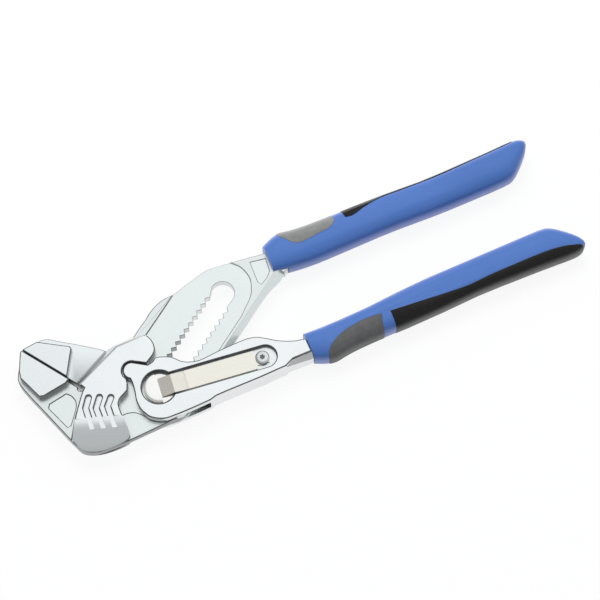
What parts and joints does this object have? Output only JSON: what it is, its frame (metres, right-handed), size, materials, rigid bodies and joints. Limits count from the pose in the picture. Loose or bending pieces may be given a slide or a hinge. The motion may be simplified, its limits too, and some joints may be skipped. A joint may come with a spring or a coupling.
{
  "type": "pliers wrench",
  "caption": "Adjustable pliers wrench with smooth parallel jaws, a toothed adjusting slot, a push-button lock, a leaf spring and moulded cushion grips.",
  "frame": {"origin": "middle of the tool's length and width, at the underside that it lies on", "axes": "+X along the handles from the jaws to the grip ends, +Y towards the fixed-jaw handle's grip, +Z out of the face with the leaf spring"},
  "size_m": [0.2516, 0.0632, 0.014],
  "materials": {
    "satin_chrome": "satin chrome plate",
    "bright_steel": "bright turned steel",
    "spring_steel": "warm nickel sheen",
    "blue_plastic": "satin moulded",
    "grey_rubber": "soft matt",
    "black_rubber": "soft matt"
  },
  "bodies": {
    "fixed_side": {"fixed_jaw_handle": "satin_chrome", "upper_grip_shell": "blue_plastic", "upper_grip_grey_insert": "grey_rubber", "upper_grip_black_insert": "black_rubber"},
    "hinge": {"hinge_sleeve": "satin_chrome"},
    "lever_side": {"lever_handle": "satin_chrome", "leaf_spring": "spring_steel", "leaf_spring_screw": "bright_steel", "lower_grip_shell": "blue_plastic", "lower_grip_grey_insert": "grey_rubber", "lower_grip_black_insert": "black_rubber"},
    "jaw": {"sliding_jaw": "satin_chrome"},
    "bolt": {"locking_bolt": "bright_steel"},
    "cap": {"spring_cap": "bright_steel"}
  },
  "joints": [
    {"name": "adjust", "type": "slide", "parent": "fixed_side", "child": "hinge", "axis": [0.8241, 0.5664, 0], "range_m": [0, 0.04056]},
    {"name": "handle_swing", "type": "hinge", "parent": "hinge", "child": "lever_side", "pos_m": [-0.07151, -0.014, 0.007], "axis": [0, 0, 1], "range_deg": [-16, 0]},
    {"name": "jaw_stroke", "type": "slide", "parent": "hinge", "child": "jaw", "axis": [0.8241, 0.5664, 0], "range_m": [0, 0.00394]},
    {"name": "button_press", "type": "slide", "parent": "hinge", "child": "bolt", "axis": [0, 0, 1], "range_m": [0, 0.0026], "stiffness_N_per_m": 1500},
    {"name": "cap_lift", "type": "slide", "parent": "lever_side", "child": "cap", "axis": [0, 0, 1], "range_m": [0, 0.0026], "deforming": ["leaf_spring"]}
  ],
  "couplings": [
    {"joint": "jaw_stroke", "follows": "handle_swing", "m_per_rad": -0.0141},
    {"joint": "cap_lift", "follows": "button_press", "ratio": 1}
  ]
}
